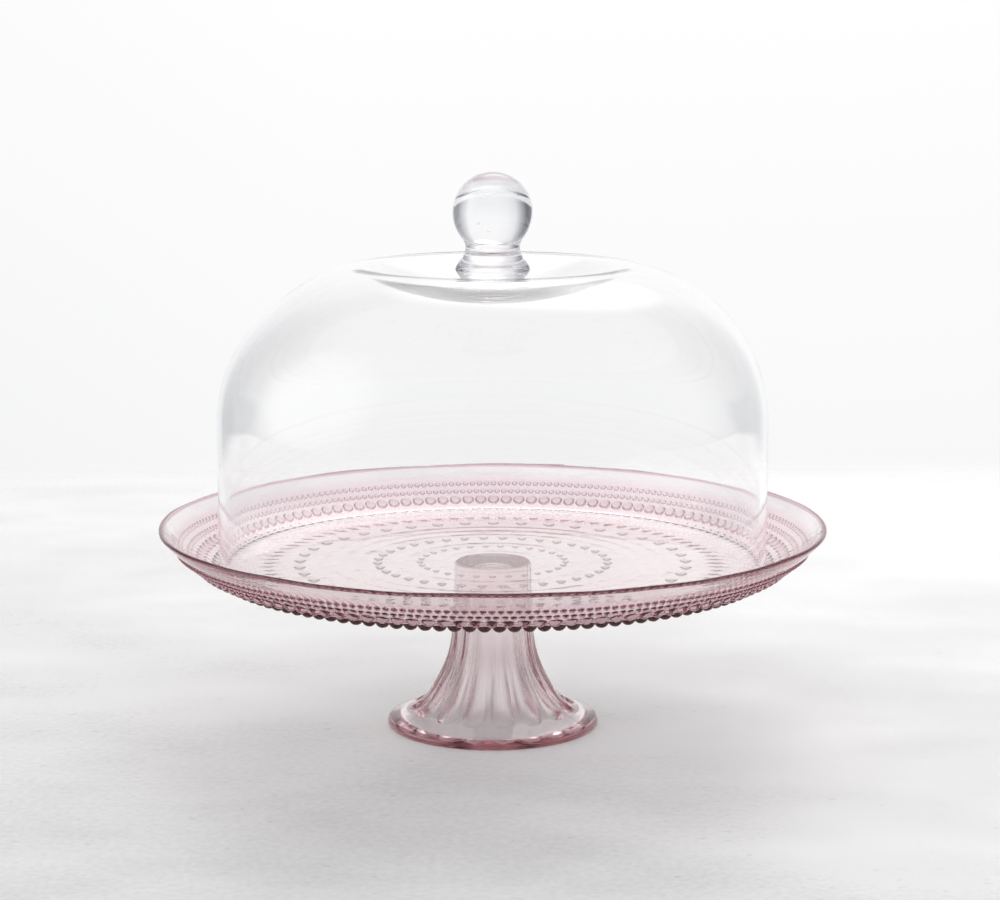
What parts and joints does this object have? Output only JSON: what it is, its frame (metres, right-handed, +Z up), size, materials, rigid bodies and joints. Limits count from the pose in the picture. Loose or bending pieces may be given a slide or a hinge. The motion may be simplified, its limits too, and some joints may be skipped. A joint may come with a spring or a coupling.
{
  "type": "cake stand with dome",
  "caption": "Footed glass cake stand: a flared beaded plate on a fluted hollow pedestal, with a clear bell-shaped glass dome that lifts off by a round knob.",
  "frame": {"origin": "centre of the foot's underside, on the surface the stand rests on", "axes": "+Z up along the axis of the plate, pedestal, dome and knob; -Y faces the viewer; one flute lies 8 degrees to the right of -Y"},
  "size_m": [0.3052, 0.3052, 0.2555],
  "materials": {
    "pink_glass": "glossy dusty rose pressed glass",
    "clear_glass": "glossy clear blown glass",
    "clear_bond": "clear cured adhesive"
  },
  "bodies": {
    "stand": {"plate": "pink_glass", "pedestal": "pink_glass", "bond": "clear_bond"},
    "cover": {"dome": "clear_glass", "knob": "clear_glass"}
  },
  "joints": [
    {"name": "dome_lift", "type": "slide", "parent": "stand", "child": "cover", "axis": [0, 0, 1], "range_m": [0, 0.2]}
  ]
}
